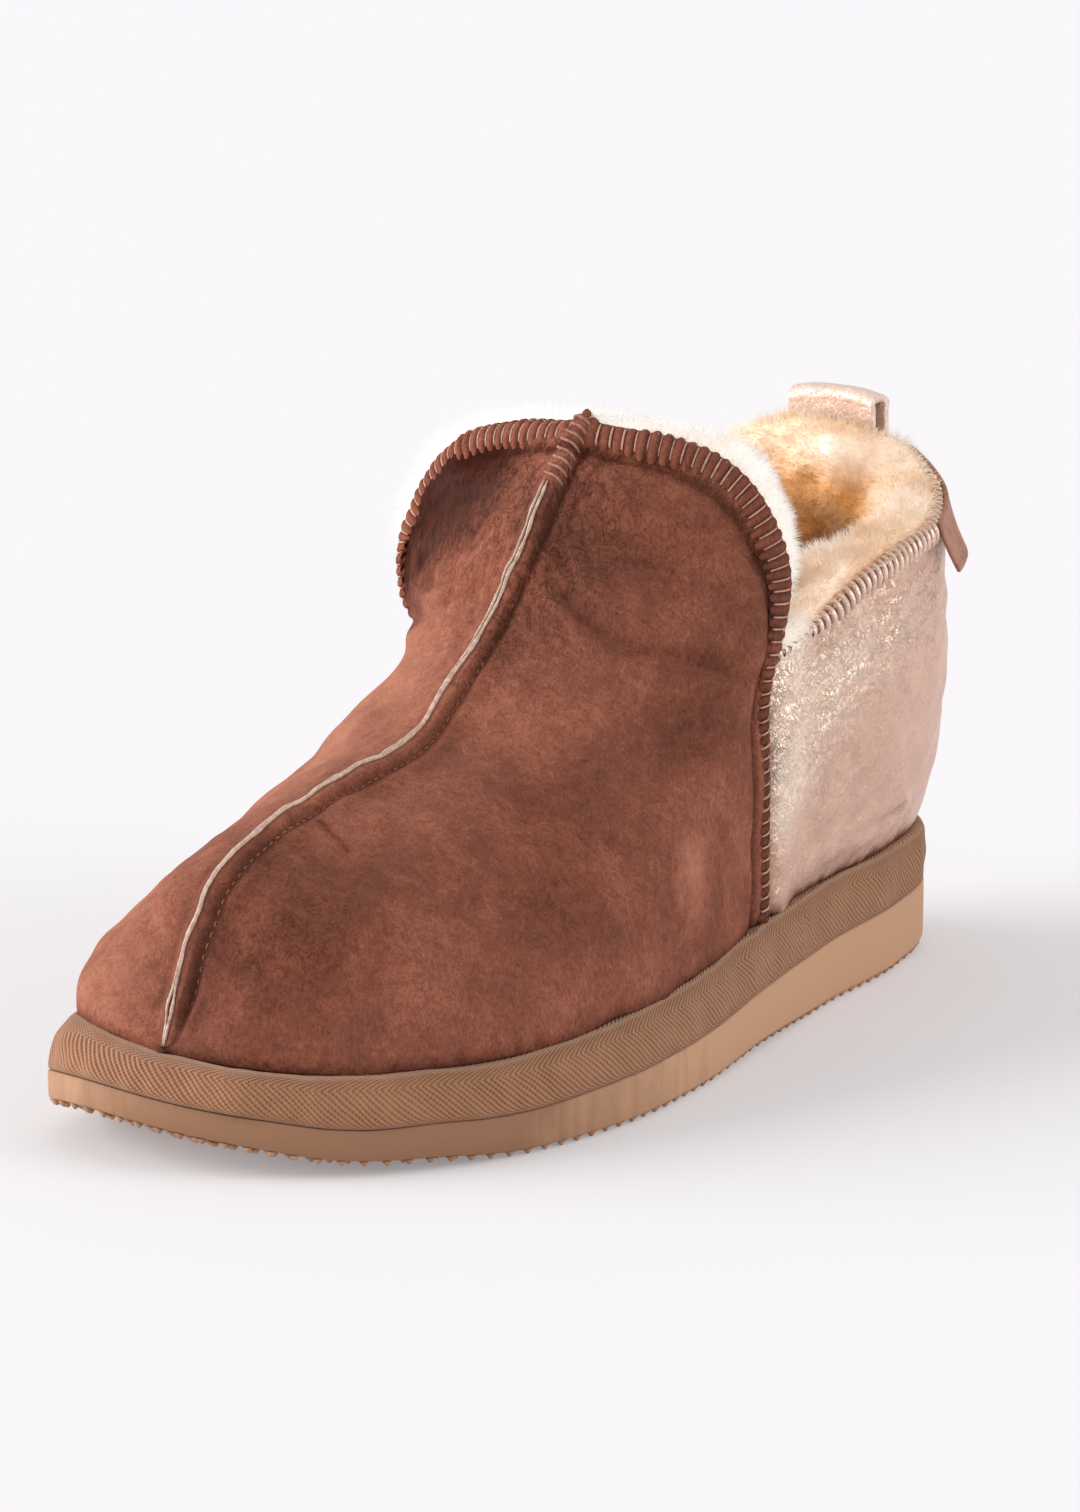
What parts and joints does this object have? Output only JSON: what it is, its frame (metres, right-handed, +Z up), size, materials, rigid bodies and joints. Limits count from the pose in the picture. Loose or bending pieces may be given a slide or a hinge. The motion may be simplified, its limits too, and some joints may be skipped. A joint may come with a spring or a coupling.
{
  "type": "slipper boot",
  "caption": "Left slipper boot: suede vamp with a raised centre seam and tongue, metallic quarter, fleece lining, tape-wrapped platform and ribbed wedge sole, open at the collar for a foot.",
  "frame": {"origin": "middle of the shoe's box in plan, on the floor", "axes": "+Y from toe to heel, +X to the outer side of the left foot, +Z up"},
  "size_m": [0.1088, 0.2604, 0.1305],
  "materials": {
    "suede": "napped suede",
    "metallic": "rose-gold foil, crackled",
    "wool": "dense wool pile",
    "insole_wool": "short wool pile",
    "tape": "herringbone twill tape",
    "foam": "matt foam rubber",
    "label_leather": "smooth leather, bare",
    "thread": "waxed thread"
  },
  "bodies": {
    "root": {"outsole": "foam", "midsole": "tape", "insole": "insole_wool", "upper": "suede", "fleece_collar": "wool", "pull_loop": "metallic", "label_tab": "label_leather"}
  },
  "joints": []
}
